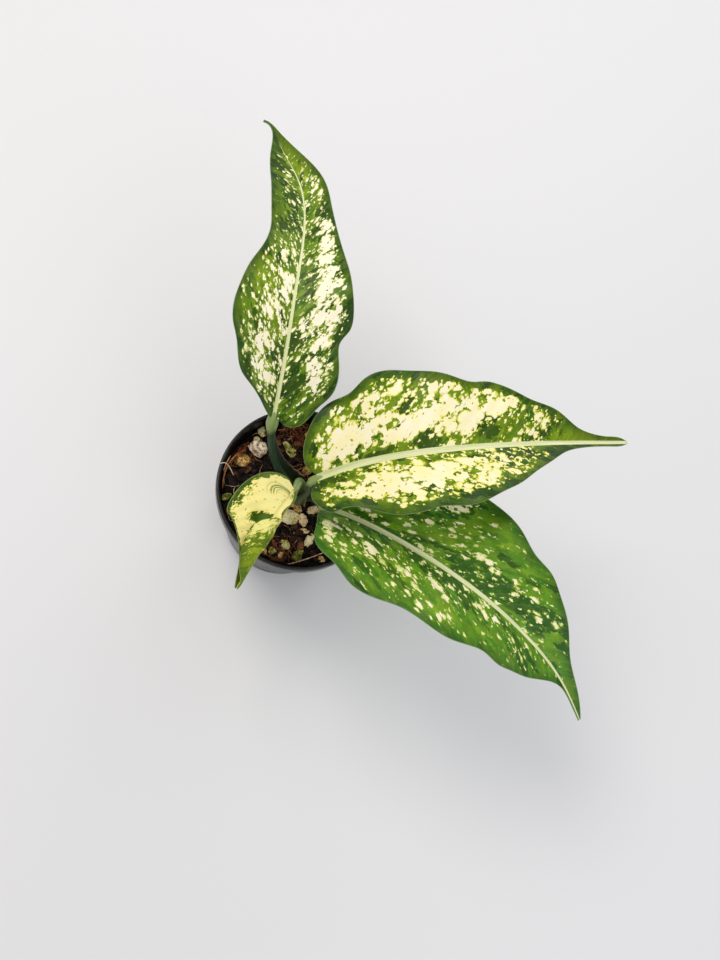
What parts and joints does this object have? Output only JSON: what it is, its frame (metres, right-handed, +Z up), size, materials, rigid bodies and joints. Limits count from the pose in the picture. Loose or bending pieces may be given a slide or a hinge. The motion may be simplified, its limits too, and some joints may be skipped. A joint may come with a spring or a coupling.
{
  "type": "potted chinese evergreen",
  "caption": "Young speckled chinese evergreen with arching leaves and a half-rolled new leaf, in a small round nursery pot of gritty mix.",
  "frame": {"origin": "centre of the flat underside of the pot, on the surface that it stands on", "axes": "+Z up along the pot's centre line, -Y towards the tip of the young rolled leaf"},
  "size_m": [0.2579, 0.1912, 0.1416],
  "materials": {
    "pot_plastic": "satin",
    "potting_mix": "matte",
    "stem_green": "satin",
    "petiole_green": "satin",
    "leaf_speckled": "satin",
    "leaf_young": "satin"
  },
  "bodies": {
    "root": {"pot": "pot_plastic", "potting_mix": "potting_mix", "stem": "stem_green", "petiole_upper": "petiole_green", "petiole_right": "petiole_green", "petiole_lower": "petiole_green", "petiole_young": "petiole_green", "blade_upper": "leaf_speckled", "blade_right": "leaf_speckled", "blade_lower": "leaf_speckled", "blade_young": "leaf_young"}
  },
  "joints": []
}
